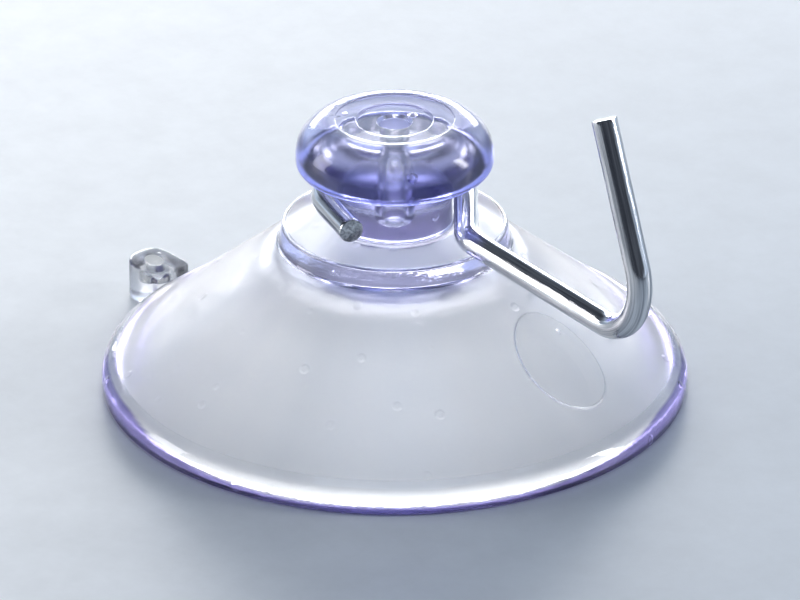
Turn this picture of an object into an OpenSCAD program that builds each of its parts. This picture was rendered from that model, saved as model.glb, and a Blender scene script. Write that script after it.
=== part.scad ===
// Clear suction cup with a bent wire hook, standing on its lip.
// The cup is one moulding: dome, collar, neck, head and pull tab.
// The hook is one wire, sprung round the neck, where it can turn.
// Origin: the cup's axis in the plane of the lip.
// +Z runs up the axis to the head, +X along the hook's arm.

/* [Cup] */
// Diameter across the lip
cup_d = 64; // [54:1:80]
// Width of the flat ring that the lip stands on, with the rounding of its edge
lip_land = 2; // [1.6:0.1:2.4]
// Rounding of the lip's lower edge
lip_foot_r = 0.4; // [0.2:0.05:0.6]
// Height of the lip's upright edge
lip_edge_h = 1.1; // [0.7:0.1:1.6]
// Radius of the rounding above that edge
lip_round_r = 2.2; // [1.6:0.1:2.8]
// Slope of the dome beside the lip, in degrees
flare_angle = 31; // [27:1:35]
// Slope of the dome below the collar, in degrees
dome_angle = 38.6; // [37:0.2:43]
// Radius of the sweep that joins the two slopes
flare_r = 45; // [30:5:60]
// Depth of the hollow under the dome
hollow_h = 14.2; // [12:0.1:14.4]
// Rounding where the hollow's side turns into its level crown
crown_r = 6; // [4:0.5:8]
// Width of the flatter rim inside the lip
hollow_rim_w = 1.8; // [1.7:0.1:2.4]
// Radius of the sweep from that rim to the hollow's side
hollow_flare_r = 28; // [10:1:30]

/* [Collar and neck] */
// Diameter of the collar at its foot
collar_d = 25.2; // [22:0.4:28]
// Height of the collar's side
collar_h = 2; // [1.6:0.1:3]
// Draft of the collar's side, in degrees
collar_draft = 11; // [5:1:15]
// Fillet where the collar rises from the dome
collar_fillet_r = 0.4; // [0.2:0.05:0.6]
// Rounding of the collar's upper edge
collar_edge_r = 0.35; // [0.2:0.05:0.6]
// Diameter of the neck
neck_d = 12.6; // [11:0.2:14]
// Height of the neck between the collar and the head
neck_h = 6.5; // [5.4:0.1:8]
// Fillets at the neck's foot and under the head
neck_fillet_r = 0.8; // [0.4:0.1:1.1]

/* [Head] */
// Diameter of the head
head_d = 21.4; // [19:0.2:24]
// Height of the head
head_h = 5.75; // [5.3:0.05:7]
// Rounding of the head's lower edge
head_edge_r = 1; // [0.6:0.1:1.2]
// Rounding of the head's upper edge
head_shoulder_r = 4; // [3:0.1:4]
// Diameter of the shallow seat in the head's top
seat_d = 12.9; // [10.8:0.1:13.2]
// Depth of that seat
seat_depth = 0.12; // [0.05:0.01:0.2]
// Diameter of the dished ring round the pilot hole
ring_d = 8.3; // [6.5:0.1:10]
// Depth of that ring below the seat
ring_depth = 0.25; // [0.1:0.05:0.4]
// Diameter of the pilot hole in the head
pilot_d = 3.2; // [2.8:0.1:3.6]
// Diameter of the pilot hole in the neck
pilot_tip_d = 2.7; // [2:0.1:2.7]
// Width of the bevel round the hole's mouth
pilot_bevel = 0.37; // [0.2:0.01:0.5]
// Height of the pilot hole's floor above the collar
pilot_floor = 0.5; // [0.3:0.1:1]

/* [Ejector pad] */
// Diameter of the round pad on the dome
pad_d = 9.8; // [8:0.2:11]
// Distance of the pad's centre in from the lip
pad_inset = 9.5; // [9:0.25:12]
// Height of the pad above the dome
pad_step = 0.15; // [0.1:0.01:0.2]

/* [Pull tab] */
// Length of the tab beyond the lip
tab_l = 4.9; // [3.5:0.1:9]
// Width of the tab, which is also the diameter of its round end
tab_w = 5.6; // [4.6:0.1:7]
// Height of the tab at its tip
tab_h = 4.5; // [4:0.1:5]
// Fall of the tab's top towards the dome
tab_fall = 0.8; // [0.4:0.1:1]
// Diameter of the blind hole in the tab
tab_hole_d = 2.15; // [1.6:0.05:2.4]
// Depth of that hole
tab_hole_depth = 2.4; // [1.5:0.1:2.8]
// Turn of the pad away from the hook's arm, in degrees, with the tab opposite
cup_turn = 17; // [0:1:90]

/* [Wire hook] */
// Diameter of the wire
wire_d = 2.7; // [2.2:0.1:3.2]
// Running clearance between the neck and the wire
loop_clearance = 0.05; // [0.02:0.01:0.1]
// Chamfer round the wire's cut ends
wire_chamfer = 0.15; // [0.05:0.05:0.4]
// How much the wire's radius shrinks where it is bent
bend_thinning = 0.01; // [0.01:0.005:0.02]
// How far the wire wraps round the neck, in degrees
loop_wrap = 202; // [190:1:215]
// Length of the straight tail after the loop
tail_l = 6.8; // [4:0.1:7.6]
// Angle at the axis between the arm and the point where the wire leaves the neck
exit_angle = 55; // [48:1:60]
// Radius of the bend where the wire turns outwards, on the wire's centre line
exit_bend_r = 5; // [3:0.5:7]
// Distance from the axis to the corner where arm and leg would meet
hook_reach = 47.3; // [42:0.1:60]
// Radius of the crook, on the wire's centre line
crook_r = 6.3; // [4:0.1:8]
// Lean of the leg back towards the axis, in degrees
leg_lean = 22.5; // [0:0.5:25]
// Length of the straight leg above the crook
leg_l = 15.8; // [10:0.1:30]

/* [Hidden] */

$fn = 144;
arc_steps = 9;
overlap = 1;

cup_r = cup_d / 2;
collar_r = collar_d / 2;
neck_r = neck_d / 2;
head_r = head_d / 2;
wire_r = wire_d / 2;

// The lip's rounding, the slope beside it and the dome's slope meet in tangents.
lip_round = [cup_r - lip_round_r, lip_edge_h];
flare_foot = on_arc(lip_round, lip_round_r, 90 - flare_angle);
flare_centre = flare_foot + flare_r * [sin(flare_angle), cos(flare_angle)];
flare_top = on_arc(flare_centre, flare_r, 270 - dome_angle);
dome_top_z = flare_top[1] + (flare_top[0] - collar_r) * tan(dome_angle);

// Heights of the collar, the neck and the head above the lip.
collar_z = dome_top_z + collar_h;
head_z = collar_z + neck_h;
top_z = head_z + head_h;
seat_z = top_z - seat_depth;
ring_z = seat_z - ring_depth;
collar_top_r = collar_r - collar_h * tan(collar_draft);

// The collar's fillet touches the dome and the collar's side.
dome_normal = [sin(dome_angle), cos(dome_angle)];
side_normal = [cos(collar_draft), sin(collar_draft)];
collar_foot = [collar_r, dome_top_z] + collar_fillet_r * meeting(dome_normal, side_normal);

// The hollow's rim and side run parallel to the two slopes of the dome's outside.
hollow_mouth_r = cup_r - lip_land;
hollow_bend = [hollow_mouth_r - hollow_rim_w, hollow_rim_w * tan(flare_angle)];
hollow_bend_l = hollow_flare_r * tan((dome_angle - flare_angle) / 2);
hollow_foot = hollow_bend + hollow_bend_l * [cos(flare_angle), -sin(flare_angle)];
hollow_flare_centre = hollow_foot + hollow_flare_r * [sin(flare_angle), cos(flare_angle)];
crown_edge = hollow_bend[0] - (hollow_h - hollow_bend[1]) / tan(dome_angle);
crown_centre = [crown_edge - crown_r * tan(dome_angle / 2), hollow_h - crown_r];

// Distance of the pad from the axis
pad_reach = cup_r - pad_inset;

// The pilot hole narrows where the neck begins.
pilot_r = pilot_d / 2;
pilot_tip_r = pilot_tip_d / 2;
pilot_step_z = head_z - neck_fillet_r;
pilot_floor_z = collar_z + pilot_floor;

// The tab grows out of the lip, between its rounding and its upright edge.
tab_end_r = tab_w / 2;
tab_reach = cup_r + tab_l;
tab_end_x = tab_reach - tab_end_r;
tab_root_x = cup_r - lip_round_r / 3;

// The hook runs level through the middle of the neck.
loop_r = neck_r + loop_clearance + wire_r;
hook_z = collar_z + neck_h / 2;
exit_turn = 90 - exit_angle;
exit_bend_l = exit_bend_r * tan(exit_turn / 2);
exit_l = loop_r * tan(exit_angle) - exit_bend_l;
arm_x = loop_r / cos(exit_angle) + exit_bend_l;
crook_turn = 90 + leg_lean;
crook_x = hook_reach - crook_r * tan(crook_turn / 2);

// Length by which a straight stretch of wire runs on into a bend
seam_l = 0.2;

// Point on a circle about a centre, at an angle in degrees
function on_arc(centre, r, angle) = centre + r * [cos(angle), sin(angle)];

// Point that lies one unit beyond both of two lines through the origin with these normals
function meeting(a, b) = [a[1] - b[1], b[0] - a[0]] / (a[1] * b[0] - a[0] * b[1]);

// Points along an arc about a centre, from one angle to another
function arc(centre, r, from, to) =
    [for (i = [0:arc_steps]) on_arc(centre, r, from + (to - from) * i / arc_steps)];

// Outline of the dome's outside, from the lip up to the collar, lifted by a height
module dome_outline(lift = 0) {
    translate([0, lift])
        polygon(concat(
            [[0, 0]],
            arc([cup_r - lip_foot_r, lip_foot_r], lip_foot_r, 270, 360),
            arc(lip_round, lip_round_r, 0, 90 - flare_angle),
            arc(flare_centre, flare_r, 270 - flare_angle, 270 - dome_angle),
            [[collar_r, dome_top_z], [0, dome_top_z]]
        ));
}

// Outline of the collar, the neck and the head, with the recesses in the head's top
module stem_outline() {
    collar_round = [collar_top_r - collar_edge_r, collar_z - collar_edge_r];
    neck_foot = [neck_r + neck_fillet_r, collar_z + neck_fillet_r];
    neck_top = [neck_r + neck_fillet_r, head_z - neck_fillet_r];
    head_edge = [head_r - head_edge_r, head_z + head_edge_r];
    head_shoulder = [head_r - head_shoulder_r, top_z - head_shoulder_r];
    polygon(concat(
        [[0, dome_top_z - overlap], [collar_r, dome_top_z - overlap]],
        arc(collar_foot, collar_fillet_r, 270 - dome_angle, 180 + collar_draft),
        arc(collar_round, collar_edge_r, collar_draft, 90),
        arc(neck_foot, neck_fillet_r, 270, 180),
        arc(neck_top, neck_fillet_r, 180, 90),
        arc(head_edge, head_edge_r, 270, 360),
        arc(head_shoulder, head_shoulder_r, 0, 90),
        [[seat_d / 2, top_z], [seat_d / 2, seat_z]],
        [[ring_d / 2, seat_z], [ring_d / 2, ring_z], [0, ring_z]]
    ));
}

// Round pad that follows the dome's slope, with an upright edge
module ejector_pad() {
    intersection() {
        rotate_extrude() dome_outline(pad_step);
        rotate([0, 0, cup_turn])
            translate([pad_reach, 0, 0])
                cylinder(h = dome_top_z, d = pad_d);
    }
}

// Round-ended tab whose top falls towards the dome
module pull_tab() {
    intersection() {
        linear_extrude(tab_h) {
            translate([tab_end_x, 0]) circle(r = tab_end_r);
            translate([tab_root_x, -tab_end_r]) square([tab_end_x - tab_root_x, tab_w]);
        }
        rotate([90, 0, 0])
            linear_extrude(tab_w + 2 * overlap, center = true)
                polygon([
                    [tab_root_x, 0],
                    [tab_reach + overlap, 0],
                    [tab_reach + overlap, tab_h],
                    [tab_end_x + tab_end_r / 2, tab_h],
                    [tab_root_x, tab_h - tab_fall]
                ]);
    }
}

// Blind hole from the tab's top
module tab_hole() {
    translate([tab_end_x, 0, tab_h - tab_hole_depth])
        cylinder(h = tab_hole_depth + overlap, d = tab_hole_d);
}

// Conical hollow under the dome, with a level crown
module hollow() {
    rotate_extrude()
        polygon(concat(
            [[0, -overlap], [hollow_mouth_r, -overlap], [hollow_mouth_r, 0]],
            arc(hollow_flare_centre, hollow_flare_r, 270 - flare_angle, 270 - dome_angle),
            arc(crown_centre, crown_r, 90 - dome_angle, 90),
            [[0, hollow_h]]
        ));
}

// Stepped blind hole down the axis, with a bevelled mouth and a round floor
module pilot_hole() {
    translate([0, 0, pilot_step_z])
        cylinder(h = ring_z - pilot_step_z + overlap, r = pilot_r);
    translate([0, 0, pilot_floor_z + pilot_tip_r])
        cylinder(h = pilot_step_z - pilot_floor_z - pilot_tip_r + overlap, r = pilot_tip_r);
    translate([0, 0, pilot_floor_z + pilot_tip_r])
        sphere(r = pilot_tip_r);
    translate([0, 0, ring_z - pilot_bevel])
        cylinder(h = 2 * pilot_bevel, r1 = pilot_r, r2 = pilot_r + 2 * pilot_bevel);
}

// The moulded cup
module suction_cup() {
    color([0.68, 0.70, 0.84, 0.5])
        difference() {
            union() {
                rotate_extrude() dome_outline();
                rotate_extrude() stem_outline();
                ejector_pad();
                rotate([0, 0, cup_turn + 180]) pull_tab();
            }
            hollow();
            pilot_hole();
            rotate([0, 0, cup_turn + 180]) tab_hole();
        }
}

// Straight stretch of wire along +X, which runs on into the bends at both its ends
module wire_straight(l) {
    translate([-seam_l, 0, 0])
        rotate([0, 90, 0]) cylinder(h = l + 2 * seam_l, r = wire_r);
}

// Straight stretch of wire along +X, from a bend to a cut and chamfered end
module wire_end(l) {
    full_l = seam_l + l - wire_chamfer;
    translate([-seam_l, 0, 0])
        rotate([0, 90, 0]) {
            cylinder(h = full_l, r = wire_r);
            translate([0, 0, full_l])
                cylinder(h = wire_chamfer, r1 = wire_r, r2 = wire_r - wire_chamfer);
        }
}

// Bent stretch of wire about the Z axis, counter-clockwise from the +X axis
module wire_bend(r, angle) {
    rotate_extrude(angle = angle) translate([r, 0]) circle(r = wire_r - bend_thinning);
}

// Loop round the neck, with its tail beyond the far end
module hook_loop() {
    rotate([0, 0, exit_angle]) wire_bend(loop_r, loop_wrap);
    rotate([0, 0, exit_angle + loop_wrap])
        translate([loop_r, 0, 0])
            rotate([0, 0, 90]) wire_end(tail_l);
}

// Straight run that leaves the neck in a tangent, and the bend that turns it outwards
module hook_exit() {
    rotate([0, 0, exit_angle])
        translate([loop_r, 0, 0])
            rotate([0, 0, -90]) wire_straight(exit_l);
    translate([arm_x, exit_bend_r, 0])
        rotate([0, 0, -90 - exit_turn]) wire_bend(exit_bend_r, exit_turn);
}

// Arm, crook and the leg that leans back over the arm
module hook_arm() {
    translate([arm_x, 0, 0]) wire_straight(crook_x - arm_x);
    translate([crook_x, 0, crook_r]) {
        rotate([90, 0, 0])
            rotate([0, 0, -90]) wire_bend(crook_r, crook_turn);
        rotate([0, -crook_turn, 0])
            translate([0, 0, -crook_r]) wire_end(leg_l);
    }
}

// The bent wire
module wire_hook() {
    color([0.80, 0.81, 0.83])
        translate([0, 0, hook_z]) {
            hook_loop();
            hook_exit();
            hook_arm();
        }
}

suction_cup();
wire_hook();
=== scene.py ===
import math
import bpy
import numpy as np
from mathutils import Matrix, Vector


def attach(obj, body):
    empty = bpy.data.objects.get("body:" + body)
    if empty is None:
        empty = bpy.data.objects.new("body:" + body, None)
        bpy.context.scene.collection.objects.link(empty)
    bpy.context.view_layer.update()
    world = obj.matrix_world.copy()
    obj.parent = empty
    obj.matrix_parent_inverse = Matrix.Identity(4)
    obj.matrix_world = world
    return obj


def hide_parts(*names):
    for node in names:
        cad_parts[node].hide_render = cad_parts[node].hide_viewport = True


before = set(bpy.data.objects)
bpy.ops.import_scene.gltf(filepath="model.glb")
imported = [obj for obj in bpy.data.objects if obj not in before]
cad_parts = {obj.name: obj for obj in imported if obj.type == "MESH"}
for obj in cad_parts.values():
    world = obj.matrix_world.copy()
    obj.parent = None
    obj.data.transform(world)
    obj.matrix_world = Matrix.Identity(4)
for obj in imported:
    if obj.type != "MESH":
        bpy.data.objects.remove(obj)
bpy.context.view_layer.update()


# The cup: one moulding of clear soft PVC with a violet-blue tint.
# Dome, lip, collar, neck and head are turned from one outline, with a blind pilot hole down the axis.
# A round pad stands a little proud of the dome, where the moulding was pushed out of its mould.
MM = 0.001
# Corners of the outline, as radius and height in mm, with the radius that rounds each one
cup_outline = np.array([
    (0.00, 14.200, 0.00),     # crown of the hollow
    (11.80, 14.200, 6.00),    # where the crown turns into the cone
    (28.20, 1.100, 28.0),     # flare of the hollow
    (30.00, 0.000, 0.30),     # flat ring under the lip, from here
    (32.00, 0.000, 0.40),     # to here
    (32.00, 2.345, 2.20),     # shoulder of the lip
    (28.371, 4.525, 45.0),    # flare of the dome
    (12.60, 17.115, 0.40),    # foot of the collar
    (12.211, 19.115, 0.35),   # upper edge of the collar
    (6.30, 19.115, 0.80),     # foot of the neck
    (6.30, 25.615, 0.80),     # top of the neck
    (10.70, 25.615, 1.00),    # lower edge of the head
    (10.70, 31.365, 4.00),    # shoulder of the head
    (6.45, 31.365, 0.05),     # edge of the shallow seat in the head's top
    (6.45, 31.245, 0.05),
    (4.15, 31.245, 0.10),     # edge of the ring round the hole
    (4.15, 30.995, 0.12),
    (1.97, 30.995, 0.10),     # bevel of the pilot hole's mouth
    (1.60, 30.625, 0.20),
    (1.60, 24.815, 0.10),     # step where the hole narrows
    (1.35, 24.815, 0.10),
    (1.35, 19.615, 1.30),     # round floor of the hole
    (0.00, 19.615, 0.00),
])
pad_turn = math.radians(17)
pad_reach = 22.5
pad_r = 4.9
pad_step = 0.15
pad_edge = 0.14
tab_turn = pad_turn + math.pi


def rounded_line(corners, steps):
    """A line whose corners are rounded. The arc at a corner starts at radius x tan(half the turn) before it,
    and its points lie on a circle of that radius beside the line, at 2 + 4 x root(radius) even steps.
    Points that follow another within 0.004 mm are left out."""
    place, radius = corners[:, :2], corners[1:-1, 2]
    run = np.diff(place, axis=0)
    way = np.arctan2(run[:, 1], run[:, 0])
    turn = (np.diff(way) + math.pi) % (2 * math.pi) - math.pi
    side = np.sign(turn)
    unit = run / np.hypot(*run.T)[:, None]
    start = place[1:-1] - (radius * np.tan(np.abs(turn) / 2))[:, None] * unit[:-1]
    centre = start + (radius * side)[:, None] * np.stack([-np.sin(way[:-1]), np.cos(way[:-1])], axis=1)
    parts = np.clip(np.ceil(2 + 4 * np.sqrt(radius)), 3, steps)[:, None]
    share = np.round(np.linspace(0, 1, steps + 1) * parts) / parts
    angle = (way[:-1] - side * math.pi / 2)[:, None] + turn[:, None] * share
    arcs = centre[:, None] + radius[:, None, None] * np.stack([np.cos(angle), np.sin(angle)], axis=2)
    line = np.concatenate([place[:1], arcs.reshape(-1, 2), place[-1:]])
    return line[np.concatenate([[True], np.hypot(*np.diff(line, axis=0).T) > 0.004])]


def finer(line, step):
    """The same line with points added at every whole step of its length, between the points it has."""
    length = np.concatenate([[0], np.cumsum(np.hypot(*np.diff(line, axis=0).T))])
    extra = np.arange(step, length[-1], step)
    near = np.abs(extra[:, None] - length[None, :]).min(axis=1)
    every = np.sort(np.concatenate([length, extra[near > 0.3 * step]]))
    return np.stack([np.interp(every, length, line[:, k]) for k in range(2)], axis=1)


def smooth(x):
    """Rises from 0 to 1 while x does, as x x x (3 - 2 x)."""
    x = np.clip(x, 0, 1)
    return x * x * (3 - 2 * x)


def skin(name, rings):
    """A closed mesh over rings of points, in metres. The first and the last ring are one point each.
    Column c joins column c + 1 and the last column joins the first; faces look to the outside when
    the columns run counter-clockwise about the direction of the rows."""
    rows, columns = rings.shape[0] - 2, rings.shape[1]
    points = np.concatenate([rings[0, :1], rings[1:-1].reshape(-1, 3), rings[-1, :1]])
    cell = 1 + np.arange(rows)[:, None] * columns + np.arange(columns)
    beside = np.roll(cell, -1, axis=1)
    quads = np.stack([cell[:-1], beside[:-1], beside[1:], cell[1:]], axis=-1).reshape(-1, 4)
    first = np.stack([np.zeros(columns, int), beside[0], cell[0]], axis=1)
    last = np.stack([np.full(columns, len(points) - 1), cell[-1], beside[-1]], axis=1)
    mesh = bpy.data.meshes.new(name)
    mesh.from_pydata(points.tolist(), [], quads.tolist() + first.tolist() + last.tolist())
    mesh.polygons.foreach_set("use_smooth", np.ones(len(mesh.polygons), bool))
    piece = bpy.data.objects.new(name, mesh)
    bpy.context.scene.collection.objects.link(piece)
    return piece


outline = rounded_line(cup_outline, 12)
lip = outline[:, 0].argmax()
dome_end = np.argmin(np.hypot(outline[:, 0] - 12.6, outline[:, 1] - 17.5))
# The rows lie closest where the pad is, and twice as far apart on the rest of the dome
dome = finer(outline[lip - 1:dome_end], 0.13)
dome = dome[(np.abs(dome[:, 0] - pad_reach) < pad_r + 0.2) | (np.arange(len(dome)) % 2 == 0)]
outline = np.concatenate([finer(outline[:lip], 1.3)[:-1], dome, finer(outline[dome_end:], 0.7)])
pad_window = math.radians(14)
around = np.concatenate([
    np.linspace(pad_turn - pad_window, pad_turn + pad_window, 156, endpoint=False),
    np.linspace(pad_turn + pad_window, pad_turn - pad_window + 2 * math.pi, 124, endpoint=False),
])
rings = np.stack(np.broadcast_arrays(
    outline[:, :1] * np.cos(around),
    outline[:, :1] * np.sin(around),
    outline[:, 1:],
), axis=-1).copy()
off_pad = np.hypot(
    rings[..., 0] - pad_reach * math.cos(pad_turn),
    rings[..., 1] - pad_reach * math.sin(pad_turn),
)
outside = np.arange(len(outline)) > outline[:, 0].argmax()
rings[..., 2] += outside[:, None] * pad_step * smooth((pad_r - off_pad) / pad_edge + 0.5)
cup = skin("cup_moulding", rings * MM)

# The pull tab: a round-ended lug with a blind hole, moulded on to the lip opposite the pad.
# Its top falls towards the dome and its upper edge is softened.
tab_r = 2.8
tab_x = 34.1
tab_root = 31.267
tab_top = 4.5
tab_fall = 0.8
tab_edge = 0.4
hole_r = 1.075
hole_floor = 2.1
bearing = np.linspace(0, 2 * math.pi, 96, endpoint=False)
flat_side = tab_r / np.maximum(np.abs(np.sin(bearing)), 1e-6)
back = (tab_x - tab_root) / np.maximum(-np.cos(bearing), 1e-6)
# The plan is a half circle in front and a square behind, whose corners a high power of the two rounds off
square = (flat_side ** -14.0 + back ** -14.0) ** (-1 / 14.0)
plan = np.where(np.cos(bearing) >= 0, tab_r, np.minimum(square, tab_r * 1.39))
bend = np.linspace(0, math.pi / 2, 6)
# Each ring has a distance in from the plan, a share of the way from there to the hole, and a height
# that counts from the floor (0) or from the top (1)
tab_rings = np.array(
    [(0.0, 0.99, 0.0, 0.0), (0.25, 0.0, 0.01, 0.0), (0.07, 0.0, 0.08, 0.0), (0.0, 0.0, 0.3, 0.0)]
    + [(tab_edge * (1 - math.cos(a)), 0.0, -tab_edge * (1 - math.sin(a)), 1.0) for a in bend]
    + [(tab_edge, 0.5, 0.0, 1.0), (tab_edge, 0.93, 0.0, 1.0), (tab_edge, 0.985, -0.03, 1.0),
       (tab_edge, 1.0, -0.1, 1.0), (tab_edge, 1.0, hole_floor + 0.15, 0.0),
       (tab_edge, 1.06, hole_floor, 0.0)]
)
inset, share, height, from_top = tab_rings.T[:, :, None]
edge = plan - inset
reach = edge + share * (hole_r - edge)
reach[0] = 0
reach = np.concatenate([reach, np.zeros((1, len(bearing)))])
along = tab_x + reach * np.cos(bearing)
slope_top = tab_top - tab_fall * np.clip((tab_x + tab_r / 2 - along) / (tab_x + tab_r / 2 - tab_root), 0, 1)
height = np.concatenate([height, [[hole_floor]]])
from_top = np.concatenate([from_top, [[0.0]]])
height = height + from_top * slope_top
height[0] = 0.01
sideways = reach * np.sin(bearing)
tab_points = np.stack([
    along * math.cos(tab_turn) - sideways * math.sin(tab_turn),
    along * math.sin(tab_turn) + sideways * math.cos(tab_turn),
    height,
], axis=-1)
tab = skin("pull_tab", tab_points * MM)
union = cup.modifiers.new("grow_tab", "BOOLEAN")
union.operation = "UNION"
union.solver = "EXACT"
union.object = tab
bpy.context.view_layer.update()
joined = bpy.data.meshes.new_from_object(cup.evaluated_get(bpy.context.evaluated_depsgraph_get()))
cup.modifiers.clear()
cup.data = joined
bpy.data.objects.remove(tab)
joined.polygons.foreach_set("use_smooth", np.ones(len(joined.polygons), bool))
joined.set_sharp_from_angle(angle=math.radians(38))


def place_node(tree, kind, **settings):
    """Adds a node and sets its plain properties and, by name with underscores for spaces, its inputs."""
    node = tree.nodes.new(kind)
    for name, value in settings.items():
        if hasattr(node, name):
            setattr(node, name, value)
        else:
            node.inputs[name.replace("_", " ")].default_value = value
    return node


# Moulded surface: slow waves from the mould, fine grain, and a few specks and nicks of dust.
# It puts out a height for bump, a roughness and a mask of the specks.
mould = bpy.data.node_groups.new("moulded_surface", "ShaderNodeTree")
for label, start in (("Wave Scale", 90.0), ("Grain Scale", 1500.0), ("Speck Scale", 260.0)):
    mould.interface.new_socket(label, in_out="INPUT", socket_type="NodeSocketFloat").default_value = start
for label, start in (("Gloss", 0.06), ("Haze", 0.08)):
    mould.interface.new_socket(label, in_out="INPUT", socket_type="NodeSocketFloat").default_value = start
for label in ("Height", "Roughness", "Specks"):
    mould.interface.new_socket(label, in_out="OUTPUT", socket_type="NodeSocketFloat")
enter = place_node(mould, "NodeGroupInput")
leave = place_node(mould, "NodeGroupOutput")
where = place_node(mould, "ShaderNodeTexCoord")
waves = place_node(mould, "ShaderNodeTexNoise", Detail=2.0, Roughness=0.4)
grain = place_node(mould, "ShaderNodeTexNoise", Detail=3.0, Roughness=0.6)
specks = place_node(mould, "ShaderNodeTexVoronoi", feature="F1")
for texture, label in ((waves, "Wave Scale"), (grain, "Grain Scale"), (specks, "Speck Scale")):
    mould.links.new(where.outputs["Object"], texture.inputs["Vector"])
    mould.links.new(enter.outputs[label], texture.inputs["Scale"])
speck_size = place_node(mould, "ShaderNodeMapRange", interpolation_type="SMOOTHSTEP",
                        From_Min=0.20, From_Max=0.10, To_Min=0.0, To_Max=1.0)
mould.links.new(specks.outputs["Distance"], speck_size.inputs["Value"])
rare = place_node(mould, "ShaderNodeSeparateColor")
mould.links.new(specks.outputs["Color"], rare.inputs["Color"])
few = place_node(mould, "ShaderNodeMapRange", From_Min=0.55, From_Max=0.65, To_Min=0.0, To_Max=1.0)
mould.links.new(rare.outputs["Red"], few.inputs["Value"])
speck_mask = place_node(mould, "ShaderNodeMath", operation="MULTIPLY")
mould.links.new(speck_size.outputs["Result"], speck_mask.inputs[0])
mould.links.new(few.outputs["Result"], speck_mask.inputs[1])
grain_share = place_node(mould, "ShaderNodeMath", operation="MULTIPLY_ADD")
grain_share.inputs[1].default_value = 0.05
mould.links.new(grain.outputs["Fac"], grain_share.inputs[0])
mould.links.new(waves.outputs["Fac"], grain_share.inputs[2])
speck_share = place_node(mould, "ShaderNodeMath", operation="MULTIPLY_ADD")
speck_share.inputs[1].default_value = 0.35
mould.links.new(speck_mask.outputs["Value"], speck_share.inputs[0])
mould.links.new(grain_share.outputs["Value"], speck_share.inputs[2])
blotch = place_node(mould, "ShaderNodeMapRange", interpolation_type="SMOOTHSTEP", From_Min=0.35, From_Max=0.7)
mould.links.new(waves.outputs["Fac"], blotch.inputs["Value"])
mould.links.new(enter.outputs["Gloss"], blotch.inputs["To Min"])
mould.links.new(enter.outputs["Haze"], blotch.inputs["To Max"])
mould.links.new(speck_share.outputs["Value"], leave.inputs["Height"])
mould.links.new(blotch.outputs["Result"], leave.inputs["Roughness"])
mould.links.new(speck_mask.outputs["Value"], leave.inputs["Specks"])

vinyl = bpy.data.materials.new("clear_vinyl_violet_tint")
vinyl.use_nodes = True
tree = vinyl.node_tree
plastic = tree.nodes["Principled BSDF"]
plastic.inputs["Metallic"].default_value = 0.0
plastic.inputs["Transmission Weight"].default_value = 1.0
plastic.inputs["IOR"].default_value = 1.53
surface = place_node(tree, "ShaderNodeGroup", node_tree=mould, Wave_Scale=120.0, Grain_Scale=1800.0,
                     Speck_Scale=300.0, Gloss=0.03, Haze=0.06)
bump = place_node(tree, "ShaderNodeBump", Strength=0.5, Distance=0.0004)
tree.links.new(surface.outputs["Height"], bump.inputs["Height"])
tree.links.new(bump.outputs["Normal"], plastic.inputs["Normal"])
satin_mask = place_node(tree, "ShaderNodeAttribute", attribute_name="satin")
satin_mix = place_node(tree, "ShaderNodeMix", data_type="FLOAT")
satin_mix.inputs["B"].default_value = 0.36
tree.links.new(satin_mask.outputs["Fac"], satin_mix.inputs["Factor"])
tree.links.new(surface.outputs["Roughness"], satin_mix.inputs["A"])
tree.links.new(satin_mix.outputs["Result"], plastic.inputs["Roughness"])
# The base colour is the tint attribute, which holds the plastic's tint and the painted shade of the zones
# below
colour = place_node(tree, "ShaderNodeAttribute", attribute_name="tint")
tree.links.new(colour.outputs["Color"], plastic.inputs["Base Color"])
tint = place_node(tree, "ShaderNodeVolumeAbsorption", Color=(0.12, 0.03, 0.72, 1), Density=9.0)
tree.links.new(tint.outputs["Volume"], tree.nodes["Material Output"].inputs["Volume"])
# The dome's outside and the collar's top are satin from the mould, the pad, the tab, the neck and the head
# less so, and the collar's edge and the lip's edge are polished
hollow_h = 14.2
hollow_slope = 0.77
collar_top_z = 19.1
spot = np.empty(len(joined.vertices) * 3)
joined.vertices.foreach_get("co", spot)
spot = spot.reshape(-1, 3) / MM
ring = np.hypot(spot[:, 0], spot[:, 1])
from_pad = np.hypot(spot[:, 0] - pad_reach * math.cos(pad_turn), spot[:, 1] - pad_reach * math.sin(pad_turn))
over_hollow = spot[:, 2] - np.clip((30 - ring) * hollow_slope, 0, hollow_h)
satin = smooth((ring - 12.6) / 0.4) * smooth((31.0 - ring) / 1.0) * smooth(over_hollow - 0.5)
satin *= 0.5 + 0.5 * smooth((from_pad - pad_r) / 0.2 + 0.5)
satin = np.maximum(satin, 0.5 * smooth((ring - 32.3) / 0.3))
above = spot[:, 2]
flat_top = smooth((12.1 - ring) / 0.3) * smooth((ring - 5.5) / 0.3) * (np.abs(above - collar_top_z) < 0.3)
head_side = smooth((11.0 - ring) / 0.3) * smooth((ring - 5.5) / 0.3) * (above > 19.4)
satin = np.maximum(satin, np.maximum(flat_top, 0.3 * head_side))
joined.attributes.new("satin", "FLOAT", "POINT").data.foreach_set("value", satin)
# The violet shows most where the plastic is thick. Painted shade: the collar's top, the upper dome and the
# head's shoulder are painted greyer to dim the lamps' glare, the pad's outline is a painted dark line, and
# the lip's foot is painted deep violet. Each zone multiplies the colour by its tint, in its mask's share
column = smooth((12.8 - ring) / 0.3) * smooth((ring - 5.0) / 0.5)
crown = column * smooth((above - 25.5) / 0.3) * smooth((30.8 - above) / 1.8)
# Painted shade: the head's upper shoulder is painted grey-lilac to dim the bright ring of lamp light in it
shoulder_painted_shade = column * smooth((above - 30.0) / 0.8) * smooth((ring - 6.8) / 0.4)
neck = column * smooth((above - 19.3) / 0.3) * smooth((25.8 - above) / 0.3)
collar_side = column * smooth((above - 16.9) / 0.3) * smooth((19.0 - above) / 0.2)
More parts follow.
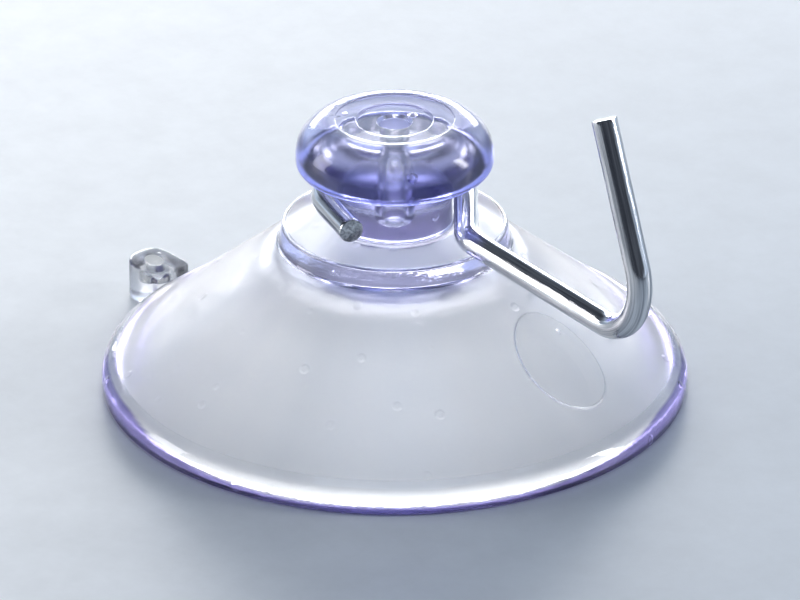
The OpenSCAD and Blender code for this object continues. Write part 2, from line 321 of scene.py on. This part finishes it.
# Painted shade: the collar's flat top is painted grey to dim the lamp's glare on it
collar_top_shade = column * (np.abs(above - collar_top_z) < 0.1)
outside_dome = smooth((ring - 12.5) / 0.3) * smooth(over_hollow - 0.5)
# Painted shade: the upper dome near the collar is painted grey to dim the lamp's light shining through it
upper_dome_shade = outside_dome * smooth((21.0 - ring) / 9.0)
# Painted shade: the lip's foot is painted deep violet, partly the plastic's tint and partly the dark of light
# caught in the thin lip. Seen from the camera, the band reaches higher at the sides than in front
turned = np.arctan2(spot[:, 1], spot[:, 0])
lip_foot_shade_top = 1.2 + 2.6 * np.cos(turned - math.radians(55)) ** 4
lip_foot_shade = smooth((ring - 31.1) / 0.2) * smooth((32.4 - ring) / 0.2) * smooth((lip_foot_shade_top - above) / 0.3)
# Painted shade: a dark grey line is painted round the pad's edge, in place of the shade at its small step
pad_outline_shade = outside_dome * smooth(1.0 - np.abs(from_pad - pad_r) / 0.16)
# Faint streaks run down the dome where the plastic flowed
broad = 0.5 * np.sin(5 * turned + 0.6)
narrow = 0.3 * np.sin(13 * turned + 2.1) + 0.2 * np.sin(29 * turned)
flow = 0.5 + 0.5 * (broad + narrow)
streaky = outside_dome * flow * smooth((ring - 14.0) / 4.0)
tint_and_shade_zones = [
    (crown, (0.36, 0.38, 0.84)),
    (shoulder_painted_shade, (0.50, 0.52, 0.70)),
    (neck, (0.56, 0.56, 0.89)),
    (collar_side, (0.72, 0.72, 0.94)),
    (collar_top_shade, (0.50, 0.53, 0.58)),
    (upper_dome_shade, (0.38, 0.41, 0.47)),
    (lip_foot_shade, (0.09, 0.07, 0.33)),
    (pad_outline_shade, (0.34, 0.36, 0.42)),
    (streaky, (0.85, 0.87, 0.89)),
    (outside_dome, (0.98, 0.95, 0.89)),
]
tint_and_painted_shade_rgb = np.ones((len(ring), 4))
for mask, paint in tint_and_shade_zones:
    tint_and_painted_shade_rgb[:, :3] *= 1 - mask[:, None] * (1 - np.array(paint))
joined.attributes.new("tint", "FLOAT_COLOR", "POINT").data.foreach_set("color", tint_and_painted_shade_rgb.ravel())
joined.materials.clear()
joined.materials.append(vinyl)
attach(cup, "cup")
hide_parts("suction_cup")


# The hook: one length of 2.7 mm steel wire, drawn, bent cold and plated bright.
# It is sprung round the neck, leaves it in a tangent, runs out as a level arm and turns up in a crook.
# Both ends are cut off square, with a small burr-free edge.
wire_r = 1.35
wire_z = 22.365
loop_r = 7.7
exit_turn = math.radians(55)
wrap = math.radians(202)
tail_l = 6.8
exit_l = 9.42
exit_bend_r = 5.0
arm_x = 15.001
crook_x = 37.871
crook_r = 6.3
crook_turn = math.radians(112.5)
leg_l = 15.8
end_chamfer = 0.15


def straight(start, end, steps):
    """Evenly spaced points from start to end, without the end."""
    share = np.linspace(0, 1, steps, endpoint=False)[:, None]
    return start + share * (end - start)


def arc(centre, radius, u, v, first, last, steps):
    """Points at centre + radius x (cos a x u + sin a x v), for angles a from the first to the last,
    without the last."""
    angle = np.linspace(first, last, steps, endpoint=False)[:, None]
    return centre + radius * (np.cos(angle) * u + np.sin(angle) * v)


x_axis, y_axis, z_axis = np.eye(3)
level = np.array([0, 0, wire_z])
loop_end = exit_turn + wrap
tail_root = level + loop_r * np.array([math.cos(loop_end), math.sin(loop_end), 0])
tail_way = np.array([-math.sin(loop_end), math.cos(loop_end), 0])
neck_exit = level + loop_r * np.array([math.cos(exit_turn), math.sin(exit_turn), 0])
exit_way = np.array([math.sin(exit_turn), -math.cos(exit_turn), 0])
crook_centre = np.array([crook_x, 0, wire_z + crook_r])
leg_root = crook_centre + crook_r * np.array([math.sin(crook_turn), 0, -math.cos(crook_turn)])
leg_way = np.array([math.cos(crook_turn), 0, math.sin(crook_turn)])
bend_centre = np.array([arm_x, exit_bend_r, wire_z])
bend_first = -math.pi / 2 - (math.pi / 2 - exit_turn)
round_neck = np.concatenate([
    straight(tail_root + tail_l * tail_way, tail_root, 14),
    arc(level, loop_r, x_axis, y_axis, loop_end, exit_turn, 90),
    straight(neck_exit, neck_exit + exit_l * exit_way, 18),
    arc(bend_centre, exit_bend_r, x_axis, y_axis, bend_first, -math.pi / 2, 12),
])
arm_and_leg = np.concatenate([
    straight(np.array([arm_x, 0, wire_z]), np.array([crook_x, 0, wire_z]), 44),
    arc(crook_centre, crook_r, x_axis, z_axis, -math.pi / 2, crook_turn - math.pi / 2, 48),
    straight(leg_root, leg_root + leg_l * leg_way, 30),
    (leg_root + leg_l * leg_way)[None],
])
path = np.concatenate([round_neck, arm_and_leg])
tangent = np.gradient(path, axis=0)
tangent /= np.linalg.norm(tangent, axis=1)[:, None]
# Round the neck the second side vector stays level; the arm and the leg lie in one plane, and there it is
# that plane's normal
side_b = np.cross(tangent, z_axis)
side_b[len(round_neck):] = -y_axis
side_b /= np.linalg.norm(side_b, axis=1)[:, None]
side_a = np.cross(side_b, tangent)
run = np.concatenate([[0], np.cumsum(np.linalg.norm(np.diff(path, axis=0), axis=1))])
# The path's ends get a chamfer: rings at the full radius, at the cut face's radius and at a point
ends = np.array([0, 0, 0])
row = np.concatenate([ends, np.arange(len(path)), ends + len(path) - 1])
ring_r = np.full(len(row), wire_r)
ring_r[[0, -1]] = 0
ring_r[[1, -2]] = wire_r - end_chamfer
ring_r[[2, -3]] = wire_r - 0.25 * end_chamfer
shift = np.zeros(len(row))
shift[2] = 0.3 * end_chamfer
shift[3] = end_chamfer
shift[-3] = -0.3 * end_chamfer
shift[-4] = -end_chamfer
middle = path[row] + shift[:, None] * tangent[row]
lay = np.linspace(0, 2 * math.pi, 40, endpoint=False)
wire_rings = middle[:, None] + ring_r[:, None, None] * (
    np.cos(lay)[:, None] * side_a[row][:, None] + np.sin(lay)[:, None] * side_b[row][:, None]
)
wire = skin("bent_wire", wire_rings * MM)
wire.data.set_sharp_from_angle(angle=math.radians(32))
# Each vertex keeps its place along the wire and round it, for the marks that drawing leaves
marks = np.stack(np.broadcast_arrays(
    (run[row] + shift)[:, None] * MM,
    ring_r[:, None] * np.cos(lay) * MM,
    ring_r[:, None] * np.sin(lay) * MM,
), axis=-1)
marks = np.concatenate([marks[0, :1], marks[1:-1].reshape(-1, 3), marks[-1, :1]])
lay_attribute = wire.data.attributes.new("drawn", "FLOAT_VECTOR", "POINT")
lay_attribute.data.foreach_set("vector", marks.ravel())

plating = bpy.data.materials.new("bright_plated_wire")
plating.use_nodes = True
tree = plating.node_tree
metal = tree.nodes["Principled BSDF"]
metal.inputs["Metallic"].default_value = 1.0
drawn = place_node(tree, "ShaderNodeAttribute", attribute_name="drawn")
stretch = place_node(tree, "ShaderNodeMapping", vector_type="POINT")
stretch.inputs["Scale"].default_value = (70.0, 3000.0, 3000.0)
streaks = place_node(tree, "ShaderNodeTexNoise", Scale=1.0, Detail=4.0, Roughness=0.65)
clouds = place_node(tree, "ShaderNodeTexNoise", Scale=420.0, Detail=3.0, Roughness=0.6)
shade = place_node(tree, "ShaderNodeMix", data_type="RGBA")
shade.inputs["A"].default_value = (0.42, 0.43, 0.46, 1)
shade.inputs["B"].default_value = (0.96, 0.96, 0.96, 1)
polish = place_node(tree, "ShaderNodeMapRange", From_Min=0.3, From_Max=0.7, To_Min=0.05, To_Max=0.14)
relief = place_node(tree, "ShaderNodeBump", Strength=0.5, Distance=0.00006)
where = place_node(tree, "ShaderNodeTexCoord")
tree.links.new(drawn.outputs["Vector"], stretch.inputs["Vector"])
tree.links.new(stretch.outputs["Vector"], streaks.inputs["Vector"])
tree.links.new(where.outputs["Object"], clouds.inputs["Vector"])
stripes = place_node(tree, "ShaderNodeMapRange", From_Min=0.40, From_Max=0.60)
tree.links.new(streaks.outputs["Fac"], stripes.inputs["Value"])
tree.links.new(stripes.outputs["Result"], shade.inputs["Factor"])
tree.links.new(clouds.outputs["Fac"], polish.inputs["Value"])
tree.links.new(streaks.outputs["Fac"], relief.inputs["Height"])
tree.links.new(shade.outputs["Result"], metal.inputs["Base Color"])
tree.links.new(polish.outputs["Result"], metal.inputs["Roughness"])
tree.links.new(relief.outputs["Normal"], metal.inputs["Normal"])
wire.data.materials.append(plating)
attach(wire, "hook")
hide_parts("wire_hook")


# The table: a pale sheet with a faint sheen and a faint mottle, wide enough to fill the view, with painted
# shade that darkens it towards the right.
# It lies a hair below the lip and isn't part of the object.
table_half = 3.0
table_z = -0.00003
sheet = bpy.data.meshes.new("pale_table")
corners = np.array([(-1, -1), (1, -1), (1, 1), (-1, 1)]) * table_half
sheet.from_pydata(np.column_stack([corners, np.full(4, table_z)]).tolist(), [], [(0, 1, 2, 3)])
table = bpy.data.objects.new("pale_table", sheet)
bpy.context.scene.collection.objects.link(table)
pale = bpy.data.materials.new("pale_sheet")
pale.use_nodes = True
tree = pale.node_tree
matt = tree.nodes["Principled BSDF"]
place = place_node(tree, "ShaderNodeTexCoord")
# Painted shade: the sheet's colour goes from pale to blue-grey towards the right, across the view, in place
# of the lamps' falloff
sweep = place_node(tree, "ShaderNodeVectorMath", operation="DOT_PRODUCT")
sweep.inputs[1].default_value = (0.574, 0.819, 0.0)
painted_falloff = place_node(tree, "ShaderNodeMapRange", interpolation_type="SMOOTHSTEP", From_Min=-0.07, From_Max=0.07)
paper_and_painted_falloff = place_node(tree, "ShaderNodeMix", data_type="RGBA")
paper_and_painted_falloff.inputs["A"].default_value = (0.91, 0.945, 0.97, 1)
paper_and_painted_falloff.inputs["B"].default_value = (0.54, 0.61, 0.69, 1)
mottle = place_node(tree, "ShaderNodeTexNoise", Scale=130.0, Detail=8.0, Roughness=0.7)
patch = place_node(tree, "ShaderNodeMapRange", From_Min=0.35, From_Max=0.65, To_Min=0.935, To_Max=1.0)
shaded = place_node(tree, "ShaderNodeVectorMath", operation="SCALE")
tree.links.new(place.outputs["Object"], sweep.inputs[0])
tree.links.new(sweep.outputs["Value"], painted_falloff.inputs["Value"])
tree.links.new(painted_falloff.outputs["Result"], paper_and_painted_falloff.inputs["Factor"])
tree.links.new(place.outputs["Object"], mottle.inputs["Vector"])
tree.links.new(mottle.outputs["Fac"], patch.inputs["Value"])
tree.links.new(paper_and_painted_falloff.outputs["Result"], shaded.inputs["Vector"])
tree.links.new(patch.outputs["Result"], shaded.inputs["Scale"])
tree.links.new(shaded.outputs["Vector"], matt.inputs["Base Color"])
matt.inputs["Roughness"].default_value = 0.38
matt.inputs["Specular IOR Level"].default_value = 0.35
# Rays that come through the plastic see the sheet under the cup a little brighter, as if the haze in the
# plastic lit up, and the sheet keeps the object's shadow
ray = place_node(tree, "ShaderNodeLightPath")
under = place_node(tree, "ShaderNodeVectorMath", operation="LENGTH")
inside = place_node(tree, "ShaderNodeMapRange", interpolation_type="SMOOTHSTEP",
                    From_Min=0.033, From_Max=0.026, To_Min=0.0, To_Max=0.12)
lift = place_node(tree, "ShaderNodeMath", operation="MULTIPLY")
tree.links.new(place.outputs["Object"], under.inputs[0])
tree.links.new(under.outputs["Value"], inside.inputs["Value"])
tree.links.new(inside.outputs["Result"], lift.inputs[1])
matt.inputs["Emission Color"].default_value = (1.0, 0.95, 0.86, 1)
tree.links.new(ray.outputs["Is Transmission Ray"], lift.inputs[0])
tree.links.new(lift.outputs["Value"], matt.inputs["Emission Strength"])
sheet.materials.append(pale)


# The light: a broad low softbox behind, weaker ones at both sides and overhead,
# and a pale room that is darker overhead. Across, away and up are seen from the camera.
view_turn = math.radians(55)
across = Vector((math.cos(view_turn), math.sin(view_turn), 0))
away = Vector((-math.sin(view_turn), math.cos(view_turn), 0))
aim = Vector((0, 0, 0.015))


def softbox(name, right, back, up, width, height, watts, colour):
    """A rectangular lamp at that place, in metres, which faces the object."""
    lamp = bpy.data.lights.new(name, "AREA")
    lamp.shape = "RECTANGLE"
    lamp.size = width
    lamp.size_y = height
    lamp.energy = watts
    lamp.color = colour
    holder = bpy.data.objects.new(name, lamp)
    holder.location = across * right + away * back + Vector((0, 0, up))
    holder.rotation_euler = (aim - holder.location).to_track_quat("-Z", "Y").to_euler()
    bpy.context.scene.collection.objects.link(holder)


softbox("back_softbox", -0.03, 1.30, 0.31, 1.20, 0.26, 14.6, (1.0, 0.99, 0.97))
softbox("left_softbox", -0.58, 0.06, 0.17, 0.20, 0.34, 1.2, (0.98, 0.98, 1.0))
softbox("right_softbox", 0.58, 0.00, 0.24, 0.07, 0.30, 1.2, (0.98, 0.98, 1.0))
softbox("over_softbox", 0.05, -0.02, 0.75, 0.60, 0.50, 1.0, (0.68, 0.81, 1.0))
room = bpy.data.worlds.new("pale_room")
bpy.context.scene.world = room
room.use_nodes = True
tree = room.node_tree
glow = tree.nodes["Background"]
look = place_node(tree, "ShaderNodeTexCoord")
toward = place_node(tree, "ShaderNodeVectorMath", operation="DOT_PRODUCT")
toward.inputs[1].default_value = tuple(away * 0.6 + across * 0.3 - Vector((0, 0, 1.4)))
fade = place_node(tree, "ShaderNodeMapRange", interpolation_type="SMOOTHSTEP",
                  From_Min=-0.45, From_Max=0.1, To_Min=0.0, To_Max=1.0)
wall = place_node(tree, "ShaderNodeMix", data_type="RGBA")
wall.inputs["A"].default_value = (0.06, 0.07, 0.09, 1)
wall.inputs["B"].default_value = (0.58, 0.70, 0.88, 1)
tree.links.new(look.outputs["Generated"], toward.inputs[0])
tree.links.new(toward.outputs["Value"], fade.inputs["Value"])
tree.links.new(fade.outputs["Result"], wall.inputs["Factor"])
# Rays that leave the plastic see a paler room, as if the haze in the thick plastic lit up
through = place_node(tree, "ShaderNodeLightPath")
haze = place_node(tree, "ShaderNodeMix", data_type="RGBA", blend_type="ADD")
haze.inputs["B"].default_value = (0.54, 0.60, 0.68, 1)
tree.links.new(through.outputs["Is Transmission Ray"], haze.inputs["Factor"])
tree.links.new(wall.outputs["Result"], haze.inputs["A"])
tree.links.new(haze.outputs["Result"], glow.inputs["Color"])
glow.inputs["Strength"].default_value = 1.0


# The camera: a long lens about 26 degrees above level, from the side that shows the hook's inside.
# It stands far off, so that the cup's outline is nearly a parallel view.
view_rise = math.radians(26.3)
view_target = Vector((0.333, 0.475, 9.6)) * MM
view_distance = 0.8161
camera = bpy.data.objects.new("camera", bpy.data.cameras.new("camera"))
camera.data.lens = 337.5
camera.data.sensor_width = 36
camera.data.clip_start = 0.01
look_along = away * math.cos(view_rise) - Vector((0, 0, math.sin(view_rise)))
camera.location = view_target - look_along * view_distance
camera.rotation_euler = look_along.to_track_quat("-Z", "Y").to_euler()
bpy.context.scene.collection.objects.link(camera)
bpy.context.scene.camera = camera
bpy.context.scene.view_settings.view_transform = "Standard"
